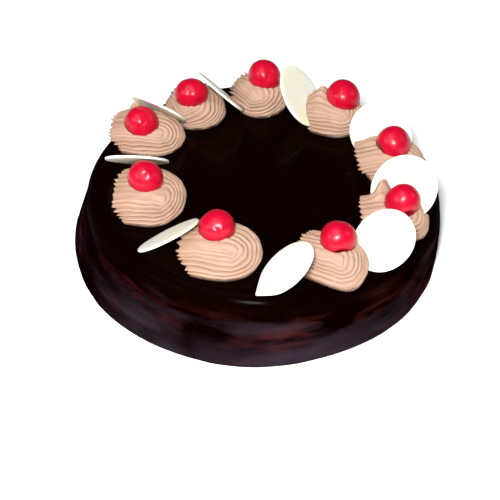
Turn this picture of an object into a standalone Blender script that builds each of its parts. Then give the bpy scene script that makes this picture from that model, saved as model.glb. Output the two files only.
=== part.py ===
"""A black forest cake: a round cake under dark chocolate glaze, with a ring of piped cream swirls
on its top, a cherry pressed into each swirl and thin white chocolate discs leaning between them.

Metres, +Z up. The origin is the centre of the round base, on the surface that the cake stands on.
"""

import math
from collections import namedtuple

import bmesh
import bpy
from mathutils import Matrix, Vector

MM = 0.001
GAP = 0.3 * MM  # left between pieces that touch

# The glazed cake. Its top is a little smaller than its base and sits slightly off centre.
BASE_RADIUS = 104 * MM
TOP_RADIUS = 98.5 * MM
HEIGHT = 45 * MM
SHOULDER = 11 * MM
TOP_SHIFT = Vector((4 * MM, -4 * MM, 0))
FOOT_BEAD = 1.2 * MM
BELLY = 0.8 * MM
CAKE_SIDES = 46
SIDE_ROWS = 5
SHOULDER_ROWS = 4
FLAT_RADIUS = TOP_RADIUS - SHOULDER
INNER_RING = 0.5  # on the base and on the flat top, as a share of its radius
FOOT_TUCK = 0.4  # how far the side draws in over the foot, as a share of the bead
SIDE_WAVES = ((0.7 * MM, 3, 0.8, 0), (0.4 * MM, 7, 0, 2.0))  # depth, number, turn and twist
WAVE_FADE = 4  # over 1, the waves end late on the way up
SHOULDER_USED = 0.92  # how far down the shoulder the toppings follow it
MERGE = 0.01 * MM

# The piped swirls. A ridged rope is laid from its blunt end to the other side, bends round and is
# laid back. Places on it are shares of its half width and half depth, with the blunt end at -1.
FRONT_RIDGES = 6  # between the crease and the edge where the rope begins
BACK_RIDGES = 11
RISE_OF_RIDGES = 1.5  # over 1, most new ridges rise late in the bend
RIDGE_DEPTH = 1.5 * MM
RUN_COLUMNS = 4
BEND_COLUMNS = 9
RUN_SHARE = 0.3  # of the way along the rope, before the bend and again after it
CREASE_END = 0.4
CREASE_SIDE = -0.55
BLUNT_TIP = -0.93
FRONT_CORNER = -0.6
BACK_CORNER = -0.7
END_BULGE = 0.12
END_FALL = 0.62  # how much the dome falls off towards the blunt end, 1 as on the other side
ROUNDNESS = 2.1
DOME_FULLNESS = 0.85
BASE_RISE = 0.17  # height of the widest line, as a share of the dome over it
BASE_SHRINK = 0.985
END_FOOT = -0.78
END_CLOSING = 0.78
TOOTH = 1.2 * MM
BASE_RINGS = (0.85, 0.8, 0.7)  # each as a share of the ring outside it
PEAK_OUT = 10 * MM
PEAK_WIDTH = 3.4 * MM
PEAK_SHARPNESS = 8

# The cherries and the discs.
CHERRY_SIDES = 12
CHERRY_ROWS = 8
CHERRY_SQUASH = 0.97
DIMPLE = 0.3
DIMPLE_SHARPNESS = 16
CHERRY_UNEVEN = 0.03
DISC_THICKNESS = 1.4 * MM
DISC_SIDES = 28
DISC_OVAL = 0.97
DISC_LIFT = 0.5 * MM
CUT_REACH = 40 * MM
SIDE_TEST = 0.4  # height at which a swirl is in front of a disc or behind it

# Each swirl's place on the cake, half width, half depth and height, in millimetres, the bearing of
# its blunt end, and the bearing and height of its last peak where one stands up, in degrees and
# millimetres.
Swirl = namedtuple("Swirl", "x y half_width half_depth height blunt_end peak_bearing peak_height")
SWIRLS = [
    Swirl(-62.5, 31.5, 20.8, 17.5, 13.5, 172, 135, 8),
    Swirl(-36.0, 56.5, 16.0, 16.8, 13.5, 105, 0, 0),
    Swirl(0.9, 69.3, 15.4, 15.4, 14.5, 126, 0, 0),
    Swirl(44.2, 54.0, 17.0, 17.0, 14.5, 162, 143, 6),
    Swirl(73.3, 13.9, 20.3, 16.8, 14.0, 190, 150, 2),
    Swirl(74.0, -36.3, 19.4, 16.3, 14.5, 186, 130, 11),
    Swirl(40.7, -73.0, 18.9, 15.7, 15.0, 156, 75, 5),
    Swirl(-17.5, -68.3, 21.4, 19.9, 15.5, 170, 0, 0),
    Swirl(-57.6, -25.5, 19.4, 21.5, 14.0, 176, 60, 2),
]

# Each cherry's centre, its height over the cake's top, its radius and where its dimple faces.
Cherry = namedtuple("Cherry", "x y lift radius bearing elevation")
CHERRIES = [
    Cherry(-65.9, 29.2, 13.0, 9.7, 100, -30),
    Cherry(-39.1, 56.0, 15.0, 9.3, 80, -30),
    Cherry(2.8, 73.8, 16.6, 9.6, 95, -20),
    Cherry(48.4, 56.8, 15.8, 9.8, 30, -30),
    Cherry(75.6, 14.8, 15.0, 9.6, 200, -20),
    Cherry(78.0, -37.6, 16.5, 9.6, -65, -25),
    Cherry(43.3, -69.5, 16.6, 9.5, -80, -30),
    Cherry(-19.8, -63.9, 16.8, 9.5, 100, -30),
    Cherry(-59.9, -23.6, 15.8, 9.7, 100, -60),
]

# Each disc's centre and radius, its tilt from lying flat and the bearing its upper face looks to.
# One is drawn out to a point: pointed is the angle from the point to where its straight edges
# meet the round, and point_bearing turns the point from the lowest place.
Disc = namedtuple("Disc", "x y radius tilt bearing pointed point_bearing")
DISCS = [
    Disc(-57.0, 41.6, 17.5, 49, 60, 0, 0),
    Disc(-65.9, -5.6, 18.1, 44, 89, 0, 0),
    Disc(-45.0, -67.0, 18.1, 40.5, 137, 0, 0),
    Disc(-22.3, 59.7, 17.6, 49, 34.5, 0, 0),
    Disc(24.0, 56.0, 18.8, 52, -15, 0, 0),
    Disc(69.3, 27.4, 18.8, 34.5, -67, 0, 0),
    Disc(79.8, -23.0, 19.0, 40, -120, 0, 0),
    Disc(67.4, -64.0, 17.8, 35, -136, 0, 0),
    Disc(16.5, -89.2, 17.5, 40, 177, 34, 24),
]


def material(name, colour, roughness, coat=0.0):
    """A plain Principled finish."""
    made = bpy.data.materials.new(name)
    made.use_nodes = True
    shader = made.node_tree.nodes["Principled BSDF"]
    shader.inputs["Base Color"].default_value = (*colour, 1.0)
    shader.inputs["Roughness"].default_value = roughness
    shader.inputs["Metallic"].default_value = 0.0
    shader.inputs["Coat Weight"].default_value = coat
    return made


def add_object(name, shape, finish=None):
    """Turns a bmesh into an object in the scene."""
    mesh = bpy.data.meshes.new(name)
    shape.to_mesh(mesh)
    shape.free()
    piece = bpy.data.objects.new(name, mesh)
    bpy.context.scene.collection.objects.link(piece)
    if finish:
        mesh.materials.append(finish)
    return piece


def connected_parts(shape):
    """The separate bodies of a bmesh, each as a list of its vertices."""
    waiting = set(shape.verts)
    parts = []
    while waiting:
        edge_of_search = [waiting.pop()]
        part = []
        while edge_of_search:
            vertex = edge_of_search.pop()
            part.append(vertex)
            for edge in vertex.link_edges:
                other = edge.other_vert(vertex)
                if other in waiting:
                    waiting.remove(other)
                    edge_of_search.append(other)
        parts.append(part)
    return parts


def cut(piece, cutters):
    """Takes the cutters out of a piece, drops loose scraps and removes the cutters."""
    for cutter in cutters:
        cutter.hide_render = True
        cutter.display_type = "WIRE"
        modifier = piece.modifiers.new("Cut", "BOOLEAN")
        modifier.operation = "DIFFERENCE"
        modifier.solver = "EXACT"
        modifier.object = cutter
    evaluated = piece.evaluated_get(bpy.context.evaluated_depsgraph_get())
    shape = bmesh.new()
    shape.from_mesh(evaluated.to_mesh())
    evaluated.to_mesh_clear()
    piece.modifiers.clear()
    for cutter in cutters:
        bpy.data.objects.remove(cutter)
    bmesh.ops.remove_doubles(shape, verts=shape.verts, dist=2 * MERGE)
    parts = sorted(connected_parts(shape), key=len)
    scraps = [vertex for part in parts[:-1] for vertex in part]
    bmesh.ops.delete(shape, geom=scraps, context="VERTS")
    bmesh.ops.triangulate(shape, faces=shape.faces)
    shape.to_mesh(piece.data)
    shape.free()
    return piece


def top_surface(x, y):
    """Height of the glaze at a place on the cake's top or its rounded shoulder."""
    out = math.hypot(x - TOP_SHIFT.x, y - TOP_SHIFT.y) - FLAT_RADIUS
    if out <= 0:
        return HEIGHT
    out = min(out, SHOULDER_USED * SHOULDER)
    return HEIGHT - SHOULDER + math.sqrt(SHOULDER**2 - out**2)


def cake_profile():
    """Half of the cake's section, from the middle of its base to the middle of its top."""
    points = [(0, 0), (INNER_RING * BASE_RADIUS, 0)]
    points += [(BASE_RADIUS - FOOT_BEAD, 0), (BASE_RADIUS, FOOT_BEAD)]
    side_top = HEIGHT - SHOULDER
    for row in range(1, SIDE_ROWS + 1):
        share = row / SIDE_ROWS
        radius = BASE_RADIUS + (TOP_RADIUS - BASE_RADIUS) * share
        radius += BELLY * math.sin(math.pi * share) - FOOT_TUCK * FOOT_BEAD * (1 - share)
        points.append((radius, FOOT_BEAD + (side_top - FOOT_BEAD) * share))
    for row in range(1, SHOULDER_ROWS + 1):
        angle = math.pi / 2 * row / SHOULDER_ROWS
        points.append((FLAT_RADIUS + SHOULDER * math.cos(angle), side_top + SHOULDER * math.sin(angle)))
    points += [(INNER_RING * FLAT_RADIUS, HEIGHT), (0, HEIGHT)]
    return points


def glazed_cake(finish):
    """The whole cake as one turned solid, leaning slightly and not quite round."""
    shape = bmesh.new()
    profile = [shape.verts.new((radius, 0, height)) for radius, height in cake_profile()]
    for lower, upper in zip(profile, profile[1:]):
        shape.edges.new((lower, upper))
    bmesh.ops.spin(
        shape,
        geom=shape.verts[:] + shape.edges[:],
        cent=(0, 0, 0),
        axis=(0, 0, 1),
        angle=math.tau,
        steps=CAKE_SIDES,
        use_merge=True,
    )
    bmesh.ops.remove_doubles(shape, verts=shape.verts, dist=MERGE)
    for vertex in shape.verts:
        angle = math.atan2(vertex.co.y, vertex.co.x)
        share = min(1, vertex.co.z / (HEIGHT - SHOULDER))
        side = 1 - share**WAVE_FADE
        uneven = 0
        for depth, number, turn, twist in SIDE_WAVES:
            uneven += depth * math.sin(number * angle + turn + twist * share)
        radius = math.hypot(vertex.co.x, vertex.co.y)
        if radius > FLAT_RADIUS:
            vertex.co.xy *= 1 + side * uneven / radius
        vertex.co += TOP_SHIFT * share
    bmesh.ops.recalc_face_normals(shape, faces=shape.faces)
    piece = add_object("cake", shape, finish)
    piece.data.shade_smooth()
    return piece


def edge_side(across):
    """How far to the side a swirl's edge lies at a place across it."""
    across = abs(across) if across > 0 else END_FALL * abs(across)
    return (1 - across**ROUNDNESS) ** (1 / ROUNDNESS)


def column_line(along):
    """A line over a swirl from the crease between its two runs to its edge. Along the rope these
    lines lie side by side, and round the bend they fan out."""
    side = -1 if along < 0.5 else 1
    run = min(along, 1 - along) / RUN_SHARE
    if run < 1:
        corner = FRONT_CORNER if side < 0 else BACK_CORNER
        across = corner + (CREASE_END - corner) * run
        crease = BLUNT_TIP + (CREASE_END - BLUNT_TIP) * run
    else:
        angle = math.pi * (along - 0.5) / (1 - 2 * RUN_SHARE)
        across = CREASE_END + (1 - CREASE_END) * math.cos(angle)
        crease = CREASE_END
    return Vector((crease, CREASE_SIDE)), Vector((across, side * edge_side(across)))


def ridge_count(along):
    """How many ridges lie between the crease and the edge. New ones rise at the edge in the bend."""
    bent = min(1, max(0, (along - RUN_SHARE) / (1 - 2 * RUN_SHARE)))
    return FRONT_RIDGES + (BACK_RIDGES - FRONT_RIDGES) * bent**RISE_OF_RIDGES


def swirl_point(swirl, along, step, ridge, closing):
    """A point on a swirl. along runs from 0 to 1 down the rope, step counts ridges outwards from
    the crease, ridge is 1 on a crest and -1 in a groove, and closing is 1 on the outside and
    less on the face of the blunt end. step is None on the base."""
    crease, edge = column_line(along)
    share = 1 if step is None else min(1, step / ridge_count(along))
    reach = math.sin(math.pi / 2 * share)
    place = crease + (edge - crease) * reach
    near_end = max(0, 1 - min(along, 1 - along) / RUN_SHARE)
    place.x -= END_BULGE * 4 * reach * (1 - reach) * near_end
    fall = 1 if place.x > 0 else END_FALL
    across, side = fall * abs(place.x), abs(place.y)
    out = min(1, (across**ROUNDNESS + side**ROUNDNESS) ** (1 / ROUNDNESS))
    level = out ** (1 / DOME_FULLNESS)
    rise = math.sqrt(1 - level**2)
    half_width = swirl.half_width * MM
    half_depth = swirl.half_depth * MM
    outwards = Vector((
        math.copysign(fall * across ** (ROUNDNESS - 1) / half_width, place.x),
        math.copysign(side ** (ROUNDNESS - 1) / half_depth, place.y),
    )).normalized()
    depth = ridge * RIDGE_DEPTH / 2 if share < 1 else 0
    height = swirl.height * MM * (rise + BASE_RISE) / (1 + BASE_RISE) + depth * rise
    place = Vector((place.x * half_width, place.y * half_depth)) + outwards * level * depth
    if step is None:
        height = 0
        place *= BASE_SHRINK
    elif along in (0, 1) and share < 1:
        place.x -= ridge * TOOTH / 2
    height *= closing
    place = place * closing + Vector((END_FOOT * half_width, 0)) * (1 - closing)
    place.rotate(Matrix.Rotation(math.radians(swirl.blunt_end - 180), 2))
    if swirl.peak_height:
        beside = max(0, math.cos(math.atan2(place.y, place.x) - math.radians(swirl.peak_bearing)))
        near = math.exp(-(((place.length - PEAK_OUT) / PEAK_WIDTH) ** 2))
        height += swirl.peak_height * MM * beside**PEAK_SHARPNESS * near
    place += Vector((swirl.x, swirl.y)) * MM
    drop = (HEIGHT - top_surface(*place)) * max(0, 1 - height / (swirl.height * MM))
    return Vector((*place, HEIGHT + GAP + height - drop))


def close_base(shape, swirl):
    """Closes a swirl's underside. Where the swirl reaches over the cake's shoulder, rings bend
    its underside down along the glaze."""
    centre = Vector((swirl.x * MM, swirl.y * MM))
    loop = [edge for edge in shape.edges if edge.is_boundary]
    reach = max((vertex.co.xy - TOP_SHIFT.xy).length for edge in loop for vertex in edge.verts)
    for shrink in BASE_RINGS if reach > FLAT_RADIUS else ():
        grown = bmesh.ops.extrude_edge_only(shape, edges=loop)["geom"]
        for vertex in (item for item in grown if isinstance(item, bmesh.types.BMVert)):
            place = centre + (vertex.co.xy - centre) * shrink
            vertex.co = (*place, top_surface(*place) + GAP)
        loop = [item for item in grown if isinstance(item, bmesh.types.BMEdge)]
    bmesh.ops.contextual_create(shape, geom=loop)


def rope_columns():
    """Where the columns of a swirl's grid lie along the rope, and how far each is closed. The
    first and last ones close the blunt end."""
    columns = [RUN_SHARE * step / RUN_COLUMNS for step in range(RUN_COLUMNS)]
    bend = 1 - 2 * RUN_SHARE
    columns += [RUN_SHARE + bend * step / BEND_COLUMNS for step in range(BEND_COLUMNS)]
    columns += [1 - RUN_SHARE * step / RUN_COLUMNS for step in range(RUN_COLUMNS, -1, -1)]
    ends = (0, END_CLOSING)
    first = [(0, closing) for closing in ends]
    last = [(1, closing) for closing in reversed(ends)]
    return first + [(along, 1) for along in columns] + last


def swirl_solid(name, swirl, finish):
    """One swirl. The columns of its grid go down the rope and its rows are crests and grooves in
    turn, from the crease to the edge, with the base as the last row."""
    shape = bmesh.new()
    columns = rope_columns()
    rows = 2 * BACK_RIDGES + 1
    bmesh.ops.create_grid(shape, x_segments=len(columns) - 1, y_segments=rows, size=1)
    for vertex in shape.verts:
        along, closing = columns[round((vertex.co.x + 1) / 2 * (len(columns) - 1))]
        row = round((vertex.co.y + 1) / 2 * rows)
        step = row / 2 if row < rows else None
        vertex.co = swirl_point(swirl, along, step, 1 if row % 2 else -1, closing)
    bmesh.ops.remove_doubles(shape, verts=shape.verts, dist=MERGE / 2)
    close_base(shape, swirl)
    bmesh.ops.triangulate(shape, faces=shape.faces)
    bmesh.ops.recalc_face_normals(shape, faces=shape.faces)
    return add_object(name, shape, finish)


def cherry_solid(name, cherry, grow=0.0, finish=None):
    """A slightly flattened ball with a dimple at one pole. grow makes it larger all round."""
    shape = bmesh.new()
    bmesh.ops.create_uvsphere(shape, u_segments=CHERRY_SIDES, v_segments=CHERRY_ROWS, radius=1)
    for vertex in shape.verts:
        near_pole = max(0, vertex.co.z)
        if not grow:
            vertex.co.z -= DIMPLE * near_pole**DIMPLE_SHARPNESS
        vertex.co.z *= CHERRY_SQUASH
        angle = math.atan2(vertex.co.y, vertex.co.x)
        vertex.co *= 1 + CHERRY_UNEVEN * math.sin(2 * angle + cherry.x)
    pole = Matrix.Rotation(math.radians(cherry.bearing), 4, "Z")
    pole = pole @ Matrix.Rotation(math.radians(90 - cherry.elevation), 4, "Y")
    size = Matrix.Scale(cherry.radius * MM + grow, 4)
    place = Matrix.Translation(Vector((cherry.x, cherry.y, cherry.lift)) * MM + Vector((0, 0, HEIGHT)))
    bmesh.ops.transform(shape, matrix=place @ pole @ size, verts=shape.verts)
    piece = add_object(name, shape, finish)
    piece.data.shade_smooth()
    return piece


def disc_place(disc):
    """Where a disc lies: its lowest point is just over the cake's top."""
    tilt = math.radians(disc.tilt)
    lift = disc.radius * MM * math.sin(tilt) + DISC_THICKNESS / 2 * math.cos(tilt) + DISC_LIFT
    place = Matrix.Translation((disc.x * MM, disc.y * MM, HEIGHT + lift))
    return place @ Matrix.Rotation(math.radians(disc.bearing), 4, "Z") @ Matrix.Rotation(tilt, 4, "Y")


def disc_solid(name, disc, finish=None, above=0.0, below=0.0):
    """A thin disc, or with above or below its space, grown by the gap and drawn out that way."""
    grow = GAP if above or below else 0.0
    low = -DISC_THICKNESS / 2 - grow - below
    high = DISC_THICKNESS / 2 + grow + above
    shape = bmesh.new()
    bmesh.ops.create_cone(
        shape,
        cap_ends=True,
        segments=DISC_SIDES,
        radius1=disc.radius * MM + grow,
        radius2=disc.radius * MM + grow,
        depth=high - low,
    )
    bmesh.ops.translate(shape, vec=(0, 0, (low + high) / 2), verts=shape.verts)
    bmesh.ops.scale(shape, vec=(1, DISC_OVAL, 1), verts=shape.verts)
    point = Vector((1, 0))
    point.rotate(Matrix.Rotation(math.radians(disc.point_bearing), 2))
    for vertex in shape.verts:
        from_point = vertex.co.xy.angle(point)
        vertex.co.xy /= math.cos(max(0, math.radians(disc.pointed) - from_point))
    bmesh.ops.transform(shape, matrix=disc_place(disc), verts=shape.verts)
    return add_object(name, shape, finish)


def disc_cutters(swirl):
    """The space that the discs near a swirl need. A swirl that carries a disc is open over it,
    and one that stands in front of a disc is open under it."""
    middle = Vector((swirl.x, swirl.y, SIDE_TEST * swirl.height)) * MM + Vector((0, 0, HEIGHT))
    cutters = []
    for disc in DISCS:
        local = disc_place(disc).inverted() @ middle
        if local.length > (disc.radius + swirl.half_width) * MM:
            continue
        if local.z < 0:
            cutters.append(disc_solid("cutter", disc, above=CUT_REACH))
        else:
            cutters.append(disc_solid("cutter", disc, below=CUT_REACH))
    return cutters


def clear_scene():
    for piece in list(bpy.context.scene.objects):
        bpy.data.objects.remove(piece)


def build():
    clear_scene()
    glaze = material("dark_glaze", (0.012, 0.004, 0.003), 0.18, coat=1.0)
    cream = material("chocolate_cream", (0.72, 0.46, 0.31), 0.55)
    cherry_skin = material("cherry_skin", (0.62, 0.004, 0.018), 0.15, coat=0.6)
    white_chocolate = material("white_chocolate", (0.86, 0.83, 0.70), 0.4)
    glazed_cake(glaze)
    for number, (swirl, cherry, disc) in enumerate(zip(SWIRLS, CHERRIES, DISCS), 1):
        piece = swirl_solid(f"swirl_{number}", swirl, cream)
        cut(piece, [cherry_solid("cutter", cherry, grow=GAP)] + disc_cutters(swirl))
        cherry_solid(f"cherry_{number}", cherry, finish=cherry_skin)
        disc_solid(f"disc_{number}", disc, finish=white_chocolate)


build()
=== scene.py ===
# %% [markdown]
# # A black forest cake
#
# A round cake under dark chocolate glaze. Nine swirls of chocolate cream are piped round its top,
# each with a glace cherry pressed into it, and thin discs of white chocolate lean between them.
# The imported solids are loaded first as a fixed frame. Every finer piece made below stands exactly
# where its solid stands, in metres, with +Z up and the origin at the middle of the cake's base.

# %% Load the frame
import math
from collections import namedtuple

import bmesh
import bpy
from mathutils import Matrix, Vector, noise


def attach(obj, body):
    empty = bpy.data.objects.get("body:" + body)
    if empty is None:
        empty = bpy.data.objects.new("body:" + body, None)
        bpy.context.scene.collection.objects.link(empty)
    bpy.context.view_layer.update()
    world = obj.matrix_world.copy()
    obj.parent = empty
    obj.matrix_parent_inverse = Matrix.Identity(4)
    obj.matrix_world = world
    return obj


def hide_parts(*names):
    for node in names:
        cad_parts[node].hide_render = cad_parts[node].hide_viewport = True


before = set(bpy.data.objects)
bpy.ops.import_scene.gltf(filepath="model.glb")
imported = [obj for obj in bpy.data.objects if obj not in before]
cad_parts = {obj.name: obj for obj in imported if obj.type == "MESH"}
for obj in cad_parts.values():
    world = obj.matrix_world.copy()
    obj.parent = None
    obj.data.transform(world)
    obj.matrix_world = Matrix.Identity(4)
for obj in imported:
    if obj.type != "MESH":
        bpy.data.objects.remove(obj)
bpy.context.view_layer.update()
scene = bpy.context.scene
print("solids loaded:", len(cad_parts))

# %% [markdown]
# ## The camera
#
# A cake is looked down on from a seated height, here about 39 degrees above the table. A long lens
# from 0.9 m away keeps the near and far rims almost the same size. The camera is aimed with a
# track quaternion and then rolled a little, because it was hand-held.

# %% Camera
CAMERA_PLACE = Vector((0, -0.6955, 0.6013))
CAMERA_AIM = Vector((-0.0024, -0.0449, 0.030))
CAMERA_ROLL = math.radians(1.61)
PICTURE_SIZE = 500
FOCAL_LENGTH_IN_PIXELS = 1598

lens = bpy.data.cameras.new("camera")
lens.sensor_width = 36
lens.lens = lens.sensor_width * FOCAL_LENGTH_IN_PIXELS / PICTURE_SIZE
lens.clip_start = 0.01
camera = bpy.data.objects.new("camera", lens)
scene.collection.objects.link(camera)
look = (CAMERA_AIM - CAMERA_PLACE).to_track_quat("-Z", "Y").to_matrix().to_4x4()
camera.matrix_world = Matrix.Translation(CAMERA_PLACE) @ look @ Matrix.Rotation(CAMERA_ROLL, 4, "Z")
scene.camera = camera
scene.view_settings.view_transform = "Standard"
print("lens:", round(lens.lens, 1), "mm")

# %% [markdown]
# ## Shader maths as expressions
#
# A node tree is easier to read as a sum than as a diagram. This small class wraps a socket, so
# that `1 - mask` or `spots * 0.2` adds the Math nodes by itself. Its `make` method adds any other
# node from its type, its settings and its sockets.

# %% Shader maths
class Shade:
    """A socket of a node tree that can be added up and multiplied."""

    def __init__(self, tree, socket):
        self.tree = tree
        self.socket = socket

    def make(self, kind, settings, sockets, output=0):
        node = self.tree.nodes.new(kind)
        for name, setting in settings.items():
            setattr(node, name, setting)
        for name, value in sockets.items():
            if isinstance(value, Shade):
                self.tree.links.new(value.socket, node.inputs[name])
            else:
                node.inputs[name].default_value = value
        return Shade(self.tree, node.outputs[output])

    def maths(self, operation, *values):
        return self.make("ShaderNodeMath", {"operation": operation}, dict(enumerate(values)))

    def __add__(self, other):
        return self.maths("ADD", self, other)

    def __radd__(self, other):
        return self.maths("ADD", other, self)

    def __sub__(self, other):
        return self.maths("SUBTRACT", self, other)

    def __rsub__(self, other):
        return self.maths("SUBTRACT", other, self)

    def __mul__(self, other):
        return self.maths("MULTIPLY", self, other)

    def __rmul__(self, other):
        return self.maths("MULTIPLY", other, self)

    def limited(self):
        """The value kept between 0 and 1."""
        return self.make("ShaderNodeClamp", {}, {"Value": self})

    def stretched(self, scale):
        """A place drawn out by a scale along each axis, for streaks and grain."""
        return self.make("ShaderNodeVectorMath", {"operation": "MULTIPLY"}, {0: self, 1: scale})

    def noise(self, scale, detail=3.0, roughness=0.5):
        """Soft blotches at this place, from 0 to 1."""
        sockets = {"Vector": self, "Scale": scale, "Detail": detail, "Roughness": roughness}
        return self.make("ShaderNodeTexNoise", {}, sockets)

    def between(self, low, high):
        """The value redrawn so that low becomes 0 and high becomes 1."""
        return ((self - low) * (1 / (high - low))).limited()

    def mixed(self, first, second):
        """A colour between two others, by this value."""
        sockets = {"Factor": self, 6: first, 7: second}
        return self.make("ShaderNodeMix", {"data_type": "RGBA"}, sockets, output=2)


def new_finish(name, **constants):
    """A material with a Principled shader whose constant sockets are set straight on it. It
    returns the material, the shader and the place on the object as a Shade."""
    finish = bpy.data.materials.new(name)
    finish.use_nodes = True
    tree = finish.node_tree
    shader = tree.nodes["Principled BSDF"]
    for socket, value in constants.items():
        shader.inputs[socket.replace("_", " ")].default_value = value
    place = tree.nodes.new("ShaderNodeTexCoord").outputs["Object"]
    return finish, shader, Shade(tree, place)


def feed(shader, **links):
    """Links Shades to the shader's sockets that may change over a surface."""
    for socket, value in links.items():
        value.tree.links.new(value.socket, shader.inputs[socket.replace("_", " ")])


def bumped(height, distance):
    """A normal that stands out where the height is high. The distance is in metres."""
    sockets = {"Height": height, "Distance": distance, "Strength": 1.0}
    return height.make("ShaderNodeBump", {}, sockets)


print("shader helper ready")

# %% [markdown]
# ## Dark chocolate glaze
#
# Poured glaze is almost black and sets like a mirror. What shows of it is mostly reflection, so
# its detail lies in where it mirrors well and where it doesn't. The flat top is the best mirror.
# On the rounded shoulder and the side the glaze runs thin and is duller. Down the side a spatula
# left streaks of red-brown in it. Bands of grey sheen down the side, widest low at the front, are a
# painted reflection in the glaze's colour. Each pattern is noise, drawn out sideways, that fades
# over a stretch of the cake's height or depth. So the stretches are named first, in metres from low
# to high and from front to back.

# %% Where the glaze changes
SIDE_MARKS_END = (0.026, 0.040)
FOOT_REFLECTION_ENDS = (0.004, 0.020)
FRONT_REFLECTION_ENDS = (-0.095, -0.055)
SHOULDER_TURNS_FLAT = (0.0445, 0.04499)

glaze, shader, place = new_finish("dark_glaze_finish", Specular_IOR_Level=0.0, Coat_Roughness=0.18)
height = place.make("ShaderNodeSeparateXYZ", {}, {"Vector": place}, output=2)
depth = place.make("ShaderNodeSeparateXYZ", {}, {"Vector": place}, output=1)
side = 1 - height.between(*SIDE_MARKS_END)
low = 1 - height.between(*FOOT_REFLECTION_ENDS)
front = 1 - depth.between(*FRONT_REFLECTION_ENDS)
rounded = 1 - height.between(*SHOULDER_TURNS_FLAT)
print("finish:", glaze.name)

# %% [markdown]
# A mark that belongs to the side alone is a product of masks. The two painted reflections are
# added, so their sum is kept between 0 and 1 before it mixes colours. The coat is the mirror over
# them: a weaker coat is a duller glaze.

# %% Glaze
GLAZE_BLACK = (0.0019, 0.0001, 0.0001, 1)
GLAZE_BROWN = (0.034, 0.006, 0.006, 1)
# a grey that stands for the glaze's mirror: painted reflection in the base colour
GLAZE_PAINTED_REFLECTION = (0.021, 0.014, 0.020, 1)

streaks = place.stretched((15, 15, 60)).noise(2.0, detail=5.0, roughness=0.55)
bands = place.stretched((8, 8, 26)).noise(2.3, detail=5.0, roughness=0.55)
clouds = place.noise(26.0, detail=3.0)
brown = streaks.between(0.48, 0.66) * side * clouds.between(0.38, 0.58)
# the grey bands on the side and the cloudy sheen at the front foot are painted reflection
reflected_bands = bands.between(0.48, 0.72) * side * (0.3 + 0.7 * front)
painted_reflection = (0.8 * reflected_bands + 0.9 * low * front * clouds.between(0.25, 0.60)).limited()
mirror = 0.14 - 0.11 * rounded - 0.03 * side - 0.04 * clouds
mirror = mirror + 0.05 * bands.between(0.50, 0.70) * side
feed(
    shader,
    Base_Color=painted_reflection.mixed(brown.mixed(GLAZE_BLACK, GLAZE_BROWN), GLAZE_PAINTED_REFLECTION),
    Roughness=0.35 + 0.3 * clouds,
    Coat_Weight=mirror.limited(),
    Normal=bumped(0.5 * streaks * side + clouds, distance=0.0009),
)
print("glaze nodes:", len(glaze.node_tree.nodes))

# %% [markdown]
# ## Chocolate cream
#
# Buttercream with a little cocoa: light brown, matt, and pinkish where the light goes in. The
# grooves between its ridges are painted a warmer, darker brown as shade, and the cream is also
# darker towards the torn end. Noise alone couldn't find the grooves, so each swirl carries an
# attribute, ridge, that says how light each point is: the painted shade then follows the piping.

# %% Cream
CREAM_CREST = (0.40, 0.257, 0.187, 1)
# painted shade: the colour of the grooves and of the blunt end's face
CREAM_GROOVE_SHADE = (0.27, 0.15, 0.092, 1)

cream, shader, place = new_finish(
    "chocolate_cream_finish",
    Subsurface_Weight=0.12,
    Subsurface_Radius=(0.9, 0.45, 0.25),
    Subsurface_Scale=0.002,
    Specular_IOR_Level=0.3,
)
ridge = place.make("ShaderNodeAttribute", {"attribute_name": "ridge"}, {}, output=2)
blotches = place.noise(160.0, detail=4.0)
grain = place.noise(1500.0, detail=3.0, roughness=0.65)
# ridge brings the painted shade of the grooves; blotches and grain vary the tone at random
crest = (ridge.between(0.05, 0.85) * 0.8 + 0.25 * blotches + 0.12 * grain).limited()
feed(
    shader,
    Base_Color=crest.mixed(CREAM_GROOVE_SHADE, CREAM_CREST),
    Roughness=0.42 + 0.25 * blotches,
    Normal=bumped(grain + 0.5 * blotches, distance=0.0003),
)
print("finish:", cream.name)

# %% [markdown]
# ## Cherry skin
#
# A glace cherry is sugared through, so light goes some way into its red flesh and its skin shines
# as if wet. The dimple left by the stem is the darkest part: painted shade in its hollow, over a
# red that is darker in random mottles.

# %% Cherry
CHERRY_RED = (0.42, 0.001, 0.019, 1)
CHERRY_DEEP_AND_SHADE = (0.15, 0.0, 0.003, 1)

cherry_red, shader, place = new_finish(
    "cherry_skin_finish",
    Subsurface_Weight=0.12,
    Subsurface_Radius=(1.0, 0.08, 0.05),
    Subsurface_Scale=0.003,
    Coat_Roughness=0.3,
    Specular_IOR_Level=0.15,
)
dimple = place.make("ShaderNodeAttribute", {"attribute_name": "dimple"}, {}, output=2)
mottle = place.noise(180.0, detail=3.0)
wrinkle = place.noise(700.0, detail=2.0)
# dimple is painted shade in the stem's hollow; the mottle is the cherry's own uneven red
mottle_and_shade = (dimple + 0.35 * mottle.between(0.45, 0.8)).limited()
feed(
    shader,
    Base_Color=mottle_and_shade.mixed(CHERRY_RED, CHERRY_DEEP_AND_SHADE),
    Roughness=0.22 + 0.2 * mottle,
    Coat_Weight=0.34 - 0.2 * wrinkle,
    Normal=bumped(mottle + 0.15 * wrinkle, distance=0.0001),
)
print("finish:", cherry_red.name)

# %% [markdown]
# ## White chocolate
#
# The discs are ivory, satin and thin. Spread chocolate keeps faint cloudy swirls, and tempering
# leaves a fine bloom, so the colour drifts between cream and nearly white.

# %% White chocolate
CHOCOLATE_WHITE = (0.80, 0.80, 0.75, 1)
CHOCOLATE_IVORY = (0.79, 0.78, 0.56, 1)

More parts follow.
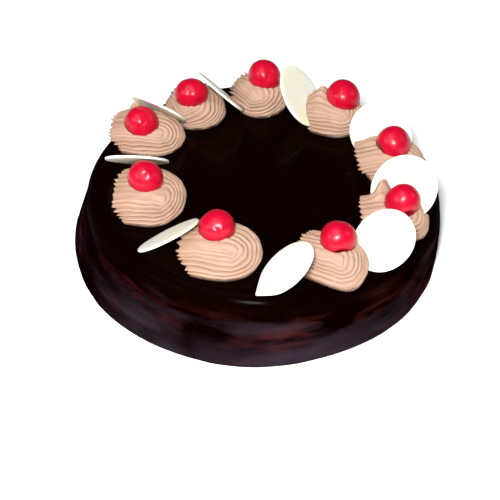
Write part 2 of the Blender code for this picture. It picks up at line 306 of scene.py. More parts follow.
white_chocolate, shader, place = new_finish(
    "white_chocolate_finish",
    Subsurface_Weight=0.6,
    Subsurface_Radius=(1.0, 0.9, 0.65),
    Subsurface_Scale=0.004,
    Specular_IOR_Level=0.4,
)
drift = place.noise(60.0, detail=5.0, roughness=0.55)
bloom = place.noise(900.0, detail=3.0)
feed(
    shader,
    Base_Color=drift.between(0.36, 0.62).mixed(CHOCOLATE_WHITE, CHOCOLATE_IVORY),
    Roughness=0.34 + 0.22 * drift,
    Normal=bumped(0.8 * drift + 0.2 * bloom, distance=0.0004),
)
print("finish:", white_chocolate.name)

# %% [markdown]
# ## From a bmesh to a piece
#
# Each finished piece is one closed mesh whose object stays at the origin, with its place in its
# vertices. It rides on the cake's one body and stands for the solid that it names. A piece that
# only cuts another names no solid. Nothing on food is straight, so every shape also strays a
# little, by smooth noise that gives the same result each time.

# %% Helpers for pieces
MM = 0.001


def add_piece(name, shape, finish, node=None):
    """Makes a bmesh a smooth piece that stands for a node."""
    mesh = bpy.data.meshes.new(name)
    shape.to_mesh(mesh)
    shape.free()
    mesh.shade_smooth()
    mesh.materials.append(finish)
    piece = bpy.data.objects.new(name, mesh)
    scene.collection.objects.link(piece)
    if node:
        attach(piece, "root")
        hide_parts(node)
    return piece


def wander(place, size, depth, seed=0.0):
    """How far a surface strays here: smooth noise with lumps of one size, up to one depth."""
    return noise.noise(place / size + Vector((seed, 2.7 * seed, -seed))) * depth


def triangles(piece):
    return sum(len(face.vertices) - 2 for face in piece.data.polygons)


print("piece helpers ready, sizes in units of", MM, "m")

# %% [markdown]
# ## The glazed cake
#
# A cake under glaze is a turned shape, so half its section is drawn and spun round. Glaze runs
# down and gathers into a low bead at the foot, and it rounds the shoulder off. The section begins
# and ends on the axis, which closes the solid.

# %% The cake's section
BASE_RADIUS = 104 * MM
TOP_RADIUS = 98.5 * MM
HEIGHT = 45 * MM
SHOULDER = 11 * MM
FLAT_RADIUS = TOP_RADIUS - SHOULDER
FOOT_BEAD = 1.2 * MM
FOOT_TUCK = 0.4  # how far the side draws in over the bead, as a share of it
BELLY = 0.8 * MM
INNER_RING = 0.5  # on the base, as a share of its radius
BEAD_ROWS = 4
SIDE_ROWS = 22
SHOULDER_ROWS = 12
FLAT_ROWS = 24


def cake_section():
    """Half the section, from the middle of the base to the middle of the top."""
    points = [(0, 0), (INNER_RING * BASE_RADIUS, 0)]
    for row in range(BEAD_ROWS + 1):
        angle = math.pi / 2 * row / BEAD_ROWS
        radius = BASE_RADIUS - FOOT_BEAD * (1 - math.sin(angle))
        points.append((radius, FOOT_BEAD * (1 - math.cos(angle))))
    side_top = HEIGHT - SHOULDER
    for row in range(1, SIDE_ROWS + 1):
        share = row / SIDE_ROWS
        arch = math.sin(math.pi * share)
        radius = BASE_RADIUS + (TOP_RADIUS - BASE_RADIUS) * share
        radius += BELLY * arch - FOOT_TUCK * FOOT_BEAD * math.sqrt(arch)
        points.append((radius, FOOT_BEAD + (side_top - FOOT_BEAD) * share))
    for row in range(1, SHOULDER_ROWS + 1):
        angle = math.pi / 2 * row / SHOULDER_ROWS
        points.append((FLAT_RADIUS + SHOULDER * math.cos(angle), side_top + SHOULDER * math.sin(angle)))
    points += [(FLAT_RADIUS * (1 - row / FLAT_ROWS), HEIGHT) for row in range(1, FLAT_ROWS + 1)]
    return points


print("section points:", len(cake_section()))

# %% [markdown]
# The points become one line of edges, and a full spin drags that line round the axis. The points
# on the axis come round once a step, so they are merged.

# %% Spin the section
CAKE_STEPS = 180
MERGE = 0.01 * MM

shape = bmesh.new()
section = [shape.verts.new((radius, 0, height)) for radius, height in cake_section()]
for lower, upper in zip(section, section[1:]):
    shape.edges.new((lower, upper))
bmesh.ops.spin(
    shape,
    geom=shape.verts[:] + shape.edges[:],
    cent=(0, 0, 0),
    axis=(0, 0, 1),
    angle=math.tau,
    steps=CAKE_STEPS,
    use_merge=True,
)
bmesh.ops.remove_doubles(shape, verts=shape.verts, dist=MERGE)
print("faces:", len(shape.faces))

# %% [markdown]
# No cake is quite round or upright. Two slow waves run round the side, and a spatula leaves
# shallow dents in it. They end below the shoulder, because wet glaze levels the top by itself.
# The higher a point lies on the side, the more it leans with the top.

# %% Lean and unevenness
TOP_SHIFT = Vector((4 * MM, -4 * MM, 0))
SIDE_WAVES = ((0.7 * MM, 3, 0.8, 0), (0.4 * MM, 7, 0, 2.0))  # depth, number, turn and twist
SIDE_DENTS = ((14 * MM, 0.35 * MM), (5 * MM, 0.12 * MM))  # size and depth
WAVE_FADE = 4  # over 1, the waves end late on the way up

for vertex in shape.verts:
    angle = math.atan2(vertex.co.y, vertex.co.x)
    share = min(1, vertex.co.z / (HEIGHT - SHOULDER))
    uneven = 0
    for wave_depth, number, turn, twist in SIDE_WAVES:
        uneven += wave_depth * math.sin(number * angle + turn + twist * share)
    for size, dent_depth in SIDE_DENTS:
        uneven += wander(vertex.co, size, dent_depth)
    radius = vertex.co.xy.length
    if radius > FLAT_RADIUS:
        vertex.co.xy *= 1 + (1 - share**WAVE_FADE) * uneven / radius
    vertex.co += TOP_SHIFT * share
bmesh.ops.recalc_face_normals(shape, faces=shape.faces)
cake = add_piece("glazed_cake", shape, glaze, "cake")
print("cake triangles:", triangles(cake))

# %% [markdown]
# ## The discs
#
# Melted white chocolate is spread thin and cut out with a round cutter, so a disc is flat, about
# 1.4 mm thick, and its edge is a little soft. They come before the cream here, because the cream
# gives way to them. A disc is placed by its centre, its radius, its tilt from lying flat and the
# bearing that its upper face looks to. One was pulled off the cutter and came out pointed like a
# petal. Its two last numbers are the angle from the point to where straight edges meet the round,
# and the turn of the point from the lowest place. Lengths are in millimetres, angles in degrees.

# %% Where the discs lean
GAP = 0.3 * MM
DISC_THICKNESS = 1.4 * MM
DISC_OVAL = 0.97
DISC_LIFT = 0.5 * MM
DISC_SEGMENTS = 72

Disc = namedtuple("Disc", "x y radius tilt bearing pointed point_bearing")
DISCS = [
    Disc(-57.0, 41.6, 17.5, 49, 60, 0, 0),
    Disc(-65.9, -5.6, 18.1, 44, 89, 0, 0),
    Disc(-45.0, -67.0, 18.1, 40.5, 137, 0, 0),
    Disc(-22.3, 59.7, 17.6, 49, 34.5, 0, 0),
    Disc(24.0, 56.0, 18.8, 52, -15, 0, 0),
    Disc(69.3, 27.4, 18.8, 34.5, -67, 0, 0),
    Disc(79.8, -23.0, 19.0, 40, -120, 0, 0),
    Disc(67.4, -64.0, 17.8, 35, -136, 0, 0),
    Disc(16.5, -89.2, 17.5, 40, 177, 34, 24),
]


def disc_place(disc):
    """Where a disc lies: its lowest point is just over the cake's top."""
    tilt = math.radians(disc.tilt)
    lift = disc.radius * MM * math.sin(tilt) + DISC_THICKNESS / 2 * math.cos(tilt) + DISC_LIFT
    place = Matrix.Translation((disc.x * MM, disc.y * MM, HEIGHT + lift))
    return place @ Matrix.Rotation(math.radians(disc.bearing), 4, "Z") @ Matrix.Rotation(tilt, 4, "Y")


def disc_shape(disc, above=0.0, below=0.0):
    """A disc, or with above or below the space it needs, drawn out that way."""
    grow = GAP if above or below else 0.0
    low = -DISC_THICKNESS / 2 - grow - below
    high = DISC_THICKNESS / 2 + grow + above
    shape = bmesh.new()
    radius = disc.radius * MM + grow
    bmesh.ops.create_cone(
        shape, cap_ends=True, segments=DISC_SEGMENTS, radius1=radius, radius2=radius, depth=high - low
    )
    bmesh.ops.translate(shape, vec=(0, 0, (low + high) / 2), verts=shape.verts)
    bmesh.ops.scale(shape, vec=(1, DISC_OVAL, 1), verts=shape.verts)
    return shape


def draw_to_point(shape, disc):
    """Draws a disc out to its point, the middle less than the rim."""
    point = Vector((1, 0))
    point.rotate(Matrix.Rotation(math.radians(disc.point_bearing), 2))
    for vertex in shape.verts:
        from_point = vertex.co.xy.angle(point, 0)
        vertex.co.xy /= math.cos(max(0, math.radians(disc.pointed) - from_point))


print("disc widths:", [2 * disc.radius for disc in DISCS], "mm")

# %% [markdown]
# A bevel softens both rims. Rings are then inset in the two faces, because a face without points
# can't stray, and the whole disc strays by noise. The point is drawn after that, so that the
# straight edges stay straight, and only then does the disc lean into place.

# %% Cut out the discs
DISC_EDGE = 0.45 * MM
DISC_RINGS = (2 * MM, 5 * MM, 5 * MM)  # width of each ring inside the rim
DISC_SWELLS = (6.4 * MM, 0.05 * MM)  # size and depth, across the disc
RIM_SWELLS = (0.6, 0.008)  # size and depth round the rim, as shares of the radius

for number, disc in enumerate(DISCS, 1):
    shape = disc_shape(disc)
    rims = [edge for edge in shape.edges if abs(edge.verts[0].co.z - edge.verts[1].co.z) < GAP]
    bmesh.ops.bevel(
        shape, geom=rims, offset=DISC_EDGE, affect="EDGES", segments=3, profile=0.5, material=-1
    )
    caps = [face for face in shape.faces if len(face.verts) > 4]
    for width in DISC_RINGS:
        bmesh.ops.inset_region(shape, faces=caps, thickness=width, use_even_offset=True)
    for vertex in shape.verts:
        vertex.co.z += wander(vertex.co, *DISC_SWELLS, number)
        vertex.co.xy *= 1 + wander(Vector((*vertex.co.xy.normalized(), number)), *RIM_SWELLS)
    draw_to_point(shape, disc)
    bmesh.ops.transform(shape, matrix=disc_place(disc), verts=shape.verts)
    name = f"chocolate_disc_{number}"
    piece = add_piece(name, shape, white_chocolate, f"disc_{number}")
print("discs:", len(DISCS), "triangles each:", triangles(piece))

# %% [markdown]
# ## The cherries
#
# A cherry is a ball that is a little flat, with a dimple where its stem was. A ball with poles
# suits it better than an icosphere, because the dimple is drawn in at one pole. It is made
# slightly lumpy and turned so that its dimple faces as the real one does. A cherry is given by
# its centre, its height over the cake's top and its radius in millimetres, and by the bearing and
# the elevation of its dimple in degrees.

# %% The cherry's form
CHERRY_COLUMNS = 48
CHERRY_ROWS = 32
CHERRY_SQUASH = 0.97
CHERRY_UNEVEN = 0.03
CHERRY_LUMPS = (0.8, 0.03)  # size and depth, as shares of the radius
CHERRY_DENTS = (0.25, 0.006)
DIMPLE = 0.3
DIMPLE_SHARPNESS = 16
DIMPLE_SHADE_SHARPNESS = 24

Cherry = namedtuple("Cherry", "x y lift radius bearing elevation")
CHERRIES = [
    Cherry(-65.9, 29.2, 13.0, 9.7, 100, -30),
    Cherry(-39.1, 56.0, 15.0, 9.3, 80, -30),
    Cherry(2.8, 73.8, 16.6, 9.6, 95, -20),
    Cherry(48.4, 56.8, 15.8, 9.8, 30, -30),
    Cherry(75.6, 14.8, 15.0, 9.6, 200, -20),
    Cherry(78.0, -37.6, 16.5, 9.6, -65, -25),
    Cherry(43.3, -69.5, 16.6, 9.5, -80, -30),
    Cherry(-19.8, -63.9, 16.8, 9.5, 100, -30),
    Cherry(-59.9, -23.6, 15.8, 9.7, 100, -60),
]


def cherry_shape(cherry, grow=0.0):
    """A cherry, or with grow the hollow that it presses into the cream."""
    shape = bmesh.new()
    layer = shape.verts.layers.float.new("dimple")
    bmesh.ops.create_uvsphere(shape, u_segments=CHERRY_COLUMNS, v_segments=CHERRY_ROWS, radius=1)
    for vertex in shape.verts:
        near_pole = max(0, vertex.co.z)
        if not grow:
            # painted shade, strongest deep in the dimple's hollow
            vertex[layer] = near_pole**DIMPLE_SHADE_SHARPNESS
            vertex.co.z -= DIMPLE * near_pole**DIMPLE_SHARPNESS
        vertex.co.z *= CHERRY_SQUASH
        angle = math.atan2(vertex.co.y, vertex.co.x)
        vertex.co *= 1 + CHERRY_UNEVEN * math.sin(2 * angle + cherry.x)
        if not grow:
            vertex.co *= 1 + wander(vertex.co, *CHERRY_LUMPS, cherry.x)
            vertex.co *= 1 + wander(vertex.co, *CHERRY_DENTS, cherry.y)
    pole = Matrix.Rotation(math.radians(cherry.bearing), 4, "Z")
    pole = pole @ Matrix.Rotation(math.radians(90 - cherry.elevation), 4, "Y")
    size = Matrix.Scale(cherry.radius * MM + grow, 4)
    place = Matrix.Translation(Vector((cherry.x, cherry.y, cherry.lift)) * MM + Vector((0, 0, HEIGHT)))
    bmesh.ops.transform(shape, matrix=place @ pole @ size, verts=shape.verts)
    return shape


print("cherry widths:", [2 * cherry.radius for cherry in CHERRIES], "mm")

# %% [markdown]
# The cherries are set before the cream is piped round them, so that each swirl can take the hollow
# of its own cherry.

# %% Set the cherries
for number, cherry in enumerate(CHERRIES, 1):
    shape = cherry_shape(cherry)
    piece = add_piece(f"glace_cherry_{number}", shape, cherry_red, f"cherry_{number}")
print("cherries:", len(CHERRIES), "triangles each:", triangles(piece))

# %% [markdown]
# ## The piped swirls
#
# A toothed nozzle leaves a rope with fine ridges. A swirl is a short rope laid back over itself:
# it starts with a blunt, toothed end, runs to the other side, bends round and comes back behind.
# A curve with a bevel would show two ropes, but soft cream sinks together into one rounded dome,
# with a crease in front of its middle. So a flat grid is draped over a dome. A swirl is given by
# its place, its half sizes and its height in millimetres, the bearing of its blunt end, and the
# bearing and the height of its last peak where one stands up.

# %% Where the swirls stand
Swirl = namedtuple("Swirl", "x y half_width half_depth height blunt_end peak_bearing peak_height")
SWIRLS = [
    Swirl(-62.5, 31.5, 20.8, 17.5, 13.5, 172, 135, 8),
    Swirl(-36.0, 56.5, 16.0, 16.8, 13.5, 105, 0, 0),
    Swirl(0.9, 69.3, 15.4, 15.4, 14.5, 126, 0, 0),
    Swirl(44.2, 54.0, 17.0, 17.0, 14.5, 162, 143, 6),
    Swirl(73.3, 13.9, 20.3, 16.8, 14.0, 190, 150, 2),
    Swirl(74.0, -36.3, 19.4, 16.3, 14.5, 186, 130, 11),
    Swirl(40.7, -73.0, 18.9, 15.7, 15.0, 156, 75, 5),
    Swirl(-17.5, -68.3, 21.4, 19.9, 15.5, 170, 0, 0),
    Swirl(-57.6, -25.5, 19.4, 21.5, 14.0, 176, 60, 2),
]
SHOULDER_USED = 0.92  # how far down the shoulder the cream follows it


def top_surface(x, y):
    """Height of the glaze at a place on the cake's top or its rounded shoulder."""
    out = math.hypot(x - TOP_SHIFT.x, y - TOP_SHIFT.y) - FLAT_RADIUS
    if out <= 0:
        return HEIGHT
    out = min(out, SHOULDER_USED * SHOULDER)
    return HEIGHT - SHOULDER + math.sqrt(SHOULDER**2 - out**2)


for number, swirl in enumerate(SWIRLS, 1):
    level = top_surface(swirl.x * MM, swirl.y * MM) / MM
    print("swirl", number, "stands at", round(level, 1), "mm")

# %% [markdown]
# The grid's columns go down the rope, each a line from the crease to the edge. Places on a swirl
# are shares of its half width and half depth, with the blunt end at -1. Along the two runs the
# columns lie side by side, and round the bend they fan out. There the edge is longer, so new
# ridges rise: the back run has more of them than the front run.

# %% Lines down the rope
RUN_SHARE = 0.3  # of the way along the rope, before the bend and again after it
CREASE_END = 0.4
CREASE_SIDE = -0.55
BLUNT_TIP = -0.93
FRONT_CORNER = -0.6
BACK_CORNER = -0.7
END_FALL = 0.62  # how much the dome falls off towards the blunt end, 1 as on the other side
ROUNDNESS = 2.1
FRONT_RIDGES = 6
BACK_RIDGES = 11
RISE_OF_RIDGES = 1.5  # over 1, most new ridges rise late in the bend


def edge_side(across):
    """How far to the side a swirl's edge lies at a place across it, as shares of its half sizes."""
    across = abs(across) if across > 0 else END_FALL * abs(across)
    return (1 - across**ROUNDNESS) ** (1 / ROUNDNESS)


def column_line(along):
    """A line over a swirl from its crease to its edge. along runs from 0 to 1 down the rope."""
    side = -1 if along < 0.5 else 1
    run = min(along, 1 - along) / RUN_SHARE
    if run < 1:
        corner = FRONT_CORNER if side < 0 else BACK_CORNER
        across = corner + (CREASE_END - corner) * run
        crease = BLUNT_TIP + (CREASE_END - BLUNT_TIP) * run
    else:
        angle = math.pi * (along - 0.5) / (1 - 2 * RUN_SHARE)
        across = CREASE_END + (1 - CREASE_END) * math.cos(angle)
        crease = CREASE_END
    return Vector((crease, CREASE_SIDE)), Vector((across, side * edge_side(across)))


def bend_share(along):
    """How far round the bend a place along the rope is, from 0 to 1."""
    return min(1, max(0, (along - RUN_SHARE) / (1 - 2 * RUN_SHARE)))


def ridge_count(along):
    """How many ridges lie between the crease and the edge."""
    return FRONT_RIDGES + (BACK_RIDGES - FRONT_RIDGES) * bend_share(along) ** RISE_OF_RIDGES


print("ridges:", [round(ridge_count(quarter / 4), 1) for quarter in range(5)])

# %% [markdown]
# The dome is fullest over its middle and falls off less towards the blunt end. A ridge stands out
# square to the dome. Ridges are lower near the crease and in the bend, where the cream is pressed,
# and they end just before the crease and the edge, so that the two sides of the crease meet
# without a gap. At the blunt end each ridge also sticks out by a different length, as cream does
# where it tears off the nozzle's teeth, and under the teeth the end falls back to a foot.

# %% A point on a swirl
RIDGE_DEPTH = 1.7 * MM
RIDGE_MEAN = 0.85
RIDGE_UNEVEN = 0.7
LUMPS_ALONG = 5  # how often the ridges swell and waver down the rope
LUMPS_OUT = 3
BEND_LOWERS = 0.3
INNER_RIDGE = 0.2  # height of a ridge at the crease, as a share of the outer ones
INNER_REACH = 0.6
CREASE_MARGIN = 0.04  # of the way from the crease to the edge, over which the ridges begin
EDGE_MARGIN = 0.05
END_SMOOTHNESS = 6  # over 1, the ridges end soon on the face of the blunt end
END_BULGE = 0.12
END_FOOT = -0.78
TOOTH = 1.3 * MM
TOOTH_REACH = 0.02
TOOTH_UNEVEN = 1.4
DOME_FULLNESS = 0.85
BASE_RISE = 0.17  # height of the widest line, as a share of the dome over it
BASE_SHRINK = 0.985
PEAK_OUT = 10 * MM
PEAK_WIDTH = 3.4 * MM
PEAK_SHARPNESS = 8


def swirl_point(swirl, along, step, ridge, closing):
    """A point on a swirl. step counts ridges outwards from the crease and is None on the base,
    ridge is 1 on a crest and -1 in a groove, and closing is less than 1 on the face of the blunt
    end."""
    crease, edge = column_line(along)
    share = 1 if step is None else min(1, step / ridge_count(along))
    reach = math.sin(math.pi / 2 * share)
    place = crease + (edge - crease) * reach
    near_end = max(0, 1 - min(along, 1 - along) / RUN_SHARE)
    place.x -= END_BULGE * 4 * reach * (1 - reach) * near_end
    fall = 1 if place.x > 0 else END_FALL
    across, side = fall * abs(place.x), abs(place.y)
    out = min(1, (across**ROUNDNESS + side**ROUNDNESS) ** (1 / ROUNDNESS))
    level = out ** (1 / DOME_FULLNESS)
    rise = math.sqrt(1 - level**2)
    half_width = swirl.half_width * MM
    half_depth = swirl.half_depth * MM
    outwards = Vector((
        math.copysign(fall * across ** (ROUNDNESS - 1) / half_width, place.x),
        math.copysign(side ** (ROUNDNESS - 1) / half_depth, place.y),
    )).normalized()
    lump = Vector((along * LUMPS_ALONG, share * LUMPS_OUT, swirl.x))
    uneven = RIDGE_MEAN + wander(lump, 1, RIDGE_UNEVEN)
    inner = INNER_RIDGE + (1 - INNER_RIDGE) * min(1, share / INNER_REACH)
    pressed = (1 - BEND_LOWERS * bend_share(along)) * inner
    calm = min(1, share / CREASE_MARGIN, (1 - share) / EDGE_MARGIN) * closing**END_SMOOTHNESS
    depth = ridge * RIDGE_DEPTH / 2 * uneven * pressed * calm
    height = swirl.height * MM * (rise + BASE_RISE) / (1 + BASE_RISE) + depth * rise
    place = Vector((place.x * half_width, place.y * half_depth)) + outwards * level * depth
    if step is None:
        height = 0
        place *= BASE_SHRINK
    elif along < TOOTH_REACH or along > 1 - TOOTH_REACH:
        tooth = 1 - min(along, 1 - along) / TOOTH_REACH
        length = 1 + wander(Vector((math.floor(step), swirl.y, 0.5)), 1, TOOTH_UNEVEN)
        place.x -= tooth * ridge * TOOTH / 2 * length * calm
    height *= closing
    place = place * closing + Vector((END_FOOT * half_width, 0)) * (1 - closing)
    place.rotate(Matrix.Rotation(math.radians(swirl.blunt_end - 180), 2))
    if swirl.peak_height:
        beside = max(0, math.cos(math.atan2(place.y, place.x) - math.radians(swirl.peak_bearing)))
        near = math.exp(-(((place.length - PEAK_OUT) / PEAK_WIDTH) ** 2))
        height += swirl.peak_height * MM * beside**PEAK_SHARPNESS * near
    place += Vector((swirl.x, swirl.y)) * MM
    drop = (HEIGHT - top_surface(*place)) * max(0, 1 - height / (swirl.height * MM))
    return Vector((*place, HEIGHT + GAP + height - drop))


print("the last peaks:", [swirl.peak_height for swirl in SWIRLS], "mm over the dome")

# %% [markdown]
# A grid from create_grid lies between -1 and 1. Each of its points is read as a column and a row,
# and moved to where that line and that ridge are on the swirl. The blunt end is closed by more
# columns at either side, which draw in towards the foot.

# %% The grid's columns
RUN_COLUMNS = 34
BEND_COLUMNS = 60
END_CLOSING = (0, 0.3, 0.6, 0.78, 0.9, 0.97)


def rope_columns():
    """Where the grid's columns lie along the rope and how far each is closed. The first and last
    ones close the blunt end."""
    columns = [RUN_SHARE * step / RUN_COLUMNS for step in range(RUN_COLUMNS)]
    bend = 1 - 2 * RUN_SHARE
    columns += [RUN_SHARE + bend * step / BEND_COLUMNS for step in range(BEND_COLUMNS)]
    columns += [1 - RUN_SHARE * step / RUN_COLUMNS for step in range(RUN_COLUMNS, -1, -1)]
    first = [(0, closing) for closing in END_CLOSING]
    last = [(1, closing) for closing in reversed(END_CLOSING)]
    return first + [(along, 1) for along in columns] + last


print("columns:", len(rope_columns()))

# %% [markdown]
# The last row of the grid is the swirl's edge on the glaze. Rings are extruded from it inwards,
# each laid on the glaze, so that a swirl that reaches over the shoulder bends down with it. One
# face fills what is left.

# %% Close the underside
BASE_RINGS = (0.93, 0.92, 0.91, 0.9, 0.85, 0.8, 0.7)  # each as a share of the ring outside it


def close_base(shape, swirl):
    """Closes a swirl's underside with rings that bend down along the glaze."""
    centre = Vector((swirl.x * MM, swirl.y * MM))
    loop = [edge for edge in shape.edges if edge.is_boundary]
    for shrink in BASE_RINGS:
        grown = bmesh.ops.extrude_edge_only(shape, edges=loop)["geom"]
        for vertex in (item for item in grown if isinstance(item, bmesh.types.BMVert)):
            place = centre + (vertex.co.xy - centre) * shrink
            vertex.co = (*place, top_surface(*place) + GAP)
        loop = [item for item in grown if isinstance(item, bmesh.types.BMEdge)]
    bmesh.ops.contextual_create(shape, geom=loop)


print("rings under a swirl:", len(BASE_RINGS))

# %% [markdown]
# Here the grid is draped. A sine without its sign, taken along the rows, makes round ridges with
# narrow grooves. Its power opens the grooves a little, and some waver keeps the lines from running
# as if ruled. The same sine is stored for the cream's colour as painted shade in the grooves, but
# lighter near the crease, where the grooves are shallow, and darker near the torn end. Then the
# whole swirl strays a little, as soft cream does, but not at its foot, which stays on the glaze.

# %% Drape a swirl
ROWS_PER_RIDGE = 10
GROOVE_OPENING = 1.35  # over 1, the grooves are wider than a bare sine leaves them
WAVER = 0.6  # in ridges
WAVER_ROWS = 25
INNER_PALER = 0.7
TORN_REACH = 0.16
TORN_DARKER = 0.7
# the face of the blunt end, under the teeth, is painted this dark as shade
END_SHADE = 0.2
SWELLS = (6 * MM, 0.7 * MM)  # size and depth, outwards
FINE_SWELLS = (1.6 * MM, 0.2 * MM)
RISING_SWELLS = (5 * MM, 0.5 * MM)
FOOT_STAYS = 4 * MM  # height over which the straying grows
MIDDLE_STAYS = 8 * MM  # distance from the middle over which it grows outwards


def groove_shade(crest, along, row):
    """How light the cream is, as painted shade: 0 in a groove and 1 on a crest, paler grooves near
    the crease, and darker at the torn end."""
    torn = max(0, 1 - min(along, 1 - along) / TORN_REACH)
    inner = max(0, 1 - row / ROWS_PER_RIDGE / ridge_count(along) / INNER_REACH)
    return (1 - (1 - crest) * (1 - INNER_PALER * inner)) * (1 - TORN_DARKER * torn)


def swirl_shape(swirl):
    """A whole swirl, as one closed bmesh with its ridge attribute."""
    shape = bmesh.new()
    layer = shape.verts.layers.float.new("ridge")
    columns = rope_columns()
    rows = BACK_RIDGES * ROWS_PER_RIDGE + 1
    bmesh.ops.create_grid(shape, x_segments=len(columns) - 1, y_segments=rows, size=1)
    for vertex in shape.verts:
        along, closing = columns[round((vertex.co.x + 1) / 2 * (len(columns) - 1))]
        row = round((vertex.co.y + 1) / 2 * rows)
        step = row / ROWS_PER_RIDGE if row < rows else None
        waver = wander(Vector((along * LUMPS_ALONG, row / WAVER_ROWS, swirl.y)), 1, WAVER)
        crest = abs(math.sin(math.pi * (row / ROWS_PER_RIDGE + waver))) ** GROOVE_OPENING
        vertex.co = swirl_point(swirl, along, step, 2 * crest - 1, closing)
        vertex[layer] = groove_shade(crest, along, row) if closing == 1 else END_SHADE
    bmesh.ops.remove_doubles(shape, verts=shape.verts, dist=MERGE / 2)
    for vertex in shape.verts:
        above = min(1, max(0, (vertex.co.z - HEIGHT) / FOOT_STAYS))
        outwards = vertex.co.xy - Vector((swirl.x, swirl.y)) * MM
        outwards /= max(outwards.length, MIDDLE_STAYS)
        swell = wander(vertex.co, *SWELLS, swirl.y) + wander(vertex.co, *FINE_SWELLS)
        vertex.co.z += above * wander(vertex.co, *RISING_SWELLS, swirl.x)
        vertex.co.xy += above * outwards * swell
    close_base(shape, swirl)
    bmesh.ops.triangulate(shape, faces=shape.faces)
    bmesh.ops.recalc_face_normals(shape, faces=shape.faces)
    return shape


print("rows of a swirl's grid:", BACK_RIDGES * ROWS_PER_RIDGE + 1)

# %% [markdown]
# A disc was pushed into soft cream, which gave way. So each swirl loses the space that the discs
# near it need, and a hair more. A swirl that carries a disc is open over it. One that stands in
# front of a disc is open under it.

# %% The space for the discs
CUT_REACH = 40 * MM
SIDE_TEST = 0.4  # height at which a swirl is in front of a disc or behind it


def disc_cutters(swirl):
    """The space that the discs near a swirl need."""
    middle = Vector((swirl.x, swirl.y, SIDE_TEST * swirl.height)) * MM + Vector((0, 0, HEIGHT))
    cutters = []
    for disc in DISCS:
        local = disc_place(disc).inverted() @ middle
        if local.length > (disc.radius + swirl.half_width) * MM:
            continue
        reach = {"above": CUT_REACH} if local.z < 0 else {"below": CUT_REACH}
        shape = disc_shape(disc, **reach)
        draw_to_point(shape, disc)
        bmesh.ops.transform(shape, matrix=disc_place(disc), verts=shape.verts)
        cutters.append(shape)
    return cutters


print("a disc's space reaches", CUT_REACH / MM, "mm past it")

# %% [markdown]
# Boolean modifiers make the cuts. Their result is read back as a mesh of its own, so that nothing
# hangs on the cutters, which then go. A cut can leave a scrap of cream with nothing to hold it,
# so only the largest body stays.

# %% Cut and clean
def largest_part(shape):
    """Drops every body of a bmesh but the one with the most vertices."""
    waiting = set(shape.verts)
    parts = []
    while waiting:
        ahead = [waiting.pop()]
        part = []
        while ahead:
            vertex = ahead.pop()
            part.append(vertex)
            for edge in vertex.link_edges:
                other = edge.other_vert(vertex)
                if other in waiting:
                    waiting.remove(other)
                    ahead.append(other)
        parts.append(part)
    parts.sort(key=len)
    scraps = [vertex for part in parts[:-1] for vertex in part]
    bmesh.ops.delete(shape, geom=scraps, context="VERTS")


def cut(piece, cutters):
    """Takes the cutters out of a piece for good."""
    helpers = []
    for shape in cutters:
        helper = add_piece("cutter", shape, cream)
        helpers.append(helper)
        modifier = piece.modifiers.new("Cut", "BOOLEAN")
        modifier.operation = "DIFFERENCE"
        modifier.solver = "EXACT"
        modifier.object = helper
    evaluated = piece.evaluated_get(bpy.context.evaluated_depsgraph_get())
    shape = bmesh.new()
    shape.from_mesh(evaluated.to_mesh())
    evaluated.to_mesh_clear()
    piece.modifiers.clear()
    for helper in helpers:
        bpy.data.objects.remove(helper)
    bmesh.ops.remove_doubles(shape, verts=shape.verts, dist=MERGE)
    largest_part(shape)
    shape.to_mesh(piece.data)
    shape.free()


print("ready to cut")

# %% [markdown]
# Each swirl takes its own cherry's hollow, a little larger than the cherry, and the discs' space.

# %% Pipe the nine swirls
SOCKET_GAP = 0.1 * MM

for number, (swirl, cherry) in enumerate(zip(SWIRLS, CHERRIES), 1):
    name = f"piped_swirl_{number}"
    piece = add_piece(name, swirl_shape(swirl), cream, f"swirl_{number}")
    cut(piece, [cherry_shape(cherry, grow=SOCKET_GAP)] + disc_cutters(swirl))
    print("swirl", number, "triangles:", triangles(piece))

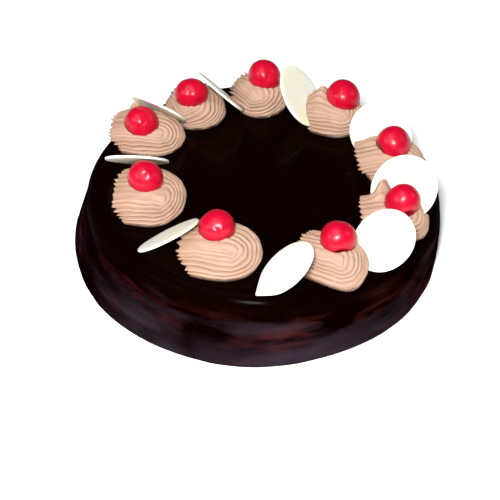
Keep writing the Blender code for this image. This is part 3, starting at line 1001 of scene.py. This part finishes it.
# %% [markdown]
# ## Floor
#
# A plain pale floor shows the outline without adding any colour. It reaches far past the picture,
# so its edges stay out of sight from above.

# %% Floor
FLOOR_REACH = 4
FLOOR_PALE = (0.94, 0.94, 0.94, 1)
FLOOR_PALER = (0.96, 0.96, 0.96, 1)

shape = bmesh.new()
bmesh.ops.create_grid(shape, x_segments=2, y_segments=2, size=FLOOR_REACH)
mesh = bpy.data.meshes.new("floor")
shape.to_mesh(mesh)
shape.free()
floor = bpy.data.objects.new("floor", mesh)
scene.collection.objects.link(floor)
floor_finish, shader, place = new_finish("floor_finish", Roughness=0.9, Specular_IOR_Level=0.1)
feed(shader, Base_Color=place.noise(3.0).mixed(FLOOR_PALE, FLOOR_PALER))
mesh.materials.append(floor_finish)
print("floor:", 2 * FLOOR_REACH, "m wide")

# %% [markdown]
# ## Light
#
# Soft studio light comes from round area lamps. The small one close to the camera gives each
# cherry its one soft highlight, and large ones above and at the sides model the cream. The glaze
# mirrors whatever lies beyond the cake, so the rest of the room stays almost dark.

# %% Light
ROOM_LIGHT = 0.05


def add_lamp(name, place, aim, size, power):
    lamp = bpy.data.lights.new(name, "AREA")
    lamp.shape = "DISK"
    lamp.size = size
    lamp.energy = power
    lamp_object = bpy.data.objects.new(name, lamp)
    scene.collection.objects.link(lamp_object)
    turn = (Vector(aim) - Vector(place)).to_track_quat("-Z", "Y").to_matrix().to_4x4()
    lamp_object.matrix_world = Matrix.Translation(place) @ turn


add_lamp("lamp_by_camera", (-0.06, -0.74, 0.74), (0, 0, 0.05), 0.15, 19.5)
add_lamp("lamp_above", (-0.35, -0.25, 1.4), (0, 0, 0), 0.9, 6.5)
add_lamp("lamp_left", (-1.2, -0.7, 0.9), (0, 0, 0.03), 0.7, 6.5)
add_lamp("lamp_right", (1.5, 0.1, 1.0), (0, 0, 0.03), 0.8, 2)

room = bpy.data.worlds.new("room")
room.use_nodes = True
room.node_tree.nodes["Background"].inputs["Color"].default_value = (1, 1, 1, 1)
room.node_tree.nodes["Background"].inputs["Strength"].default_value = ROOM_LIGHT
scene.world = room
